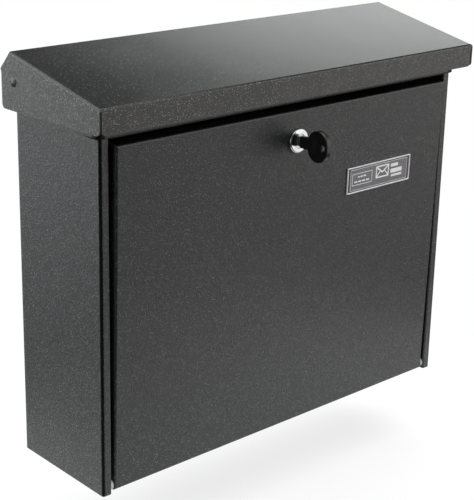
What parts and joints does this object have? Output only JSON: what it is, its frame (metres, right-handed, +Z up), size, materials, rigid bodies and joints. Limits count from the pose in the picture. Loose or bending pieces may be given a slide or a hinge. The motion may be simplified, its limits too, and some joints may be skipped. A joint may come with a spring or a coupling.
{
  "type": "wall letterbox",
  "caption": "Wall-mounted sheet-steel letterbox with a sloping lift-up rain lid, a bottom-hinged front door and a cam lock with its key.",
  "frame": {"origin": "centre of the four wall-screw holes, on the wall plane (crowns of the pressed wall pads)", "axes": "+X to the right seen from the front, +Y towards the wall, +Z up"},
  "size_m": [0.3722, 0.1373, 0.3023],
  "materials": {
    "powder_coat": "fine textured powder coat",
    "lid_coat": "fine textured powder coat",
    "door_coat": "fine textured powder coat",
    "pin_coat": "fine textured powder coat",
    "zinc_steel": "zinc plated",
    "rubber": "matt",
    "nylon": "natural nylon",
    "plate_rim": "light grey moulding",
    "plate_face": "satin dark grey print",
    "foam_tape": "foam tape",
    "lock_chrome": "polished",
    "plug_metal": "satin",
    "brass": "stamped",
    "key_metal": "nickel plated",
    "key_plastic": "moulded black"
  },
  "bodies": {
    "housing": {"back_panel": "powder_coat", "side_panel_left": "powder_coat", "side_panel_right": "powder_coat", "bottom_panel": "powder_coat", "header": "powder_coat", "lid_pin_left": "pin_coat", "lid_pin_right": "pin_coat", "lid_spacer_left": "zinc_steel", "lid_spacer_right": "zinc_steel", "lid_pin_nut_left": "zinc_steel", "lid_pin_nut_right": "zinc_steel", "lid_bumpers": "rubber", "door_rivet_left": "zinc_steel", "door_rivet_right": "zinc_steel", "door_washer_left": "nylon", "door_washer_right": "nylon"},
    "lid": {"lid": "lid_coat"},
    "door": {"door_panel": "door_coat", "nameplate_frame": "plate_rim", "nameplate_face": "plate_face", "nameplate_adhesive": "foam_tape", "lock_housing": "lock_chrome", "lock_washer": "zinc_steel", "lock_nut": "zinc_steel"},
    "lock_plug": {"lock_plug": "plug_metal", "lock_wafers": "brass", "lock_cam": "zinc_steel", "cam_screw": "zinc_steel"},
    "key": {"key_blade": "key_metal", "key_bow": "key_plastic"}
  },
  "joints": [
    {"name": "lid_hinge", "type": "hinge", "parent": "housing", "child": "lid", "pos_m": [0, -0.0187, 0.1469], "axis": [-1, 0, 0], "range_deg": [0, 45]},
    {"name": "door_hinge", "type": "hinge", "parent": "housing", "child": "door", "pos_m": [0, -0.0965, -0.13], "axis": [1, 0, 0], "range_deg": [-1, 90]},
    {"name": "lock_turn", "type": "hinge", "parent": "door", "child": "lock_plug", "pos_m": [0, -0.10824, 0.09462], "axis": [0, 0.9998, 0.0188], "range_deg": [0, 90]},
    {"name": "key_pull", "type": "slide", "parent": "lock_plug", "child": "key", "axis": [0, -0.9998, -0.0188], "range_m": [0, 0.02]}
  ]
}
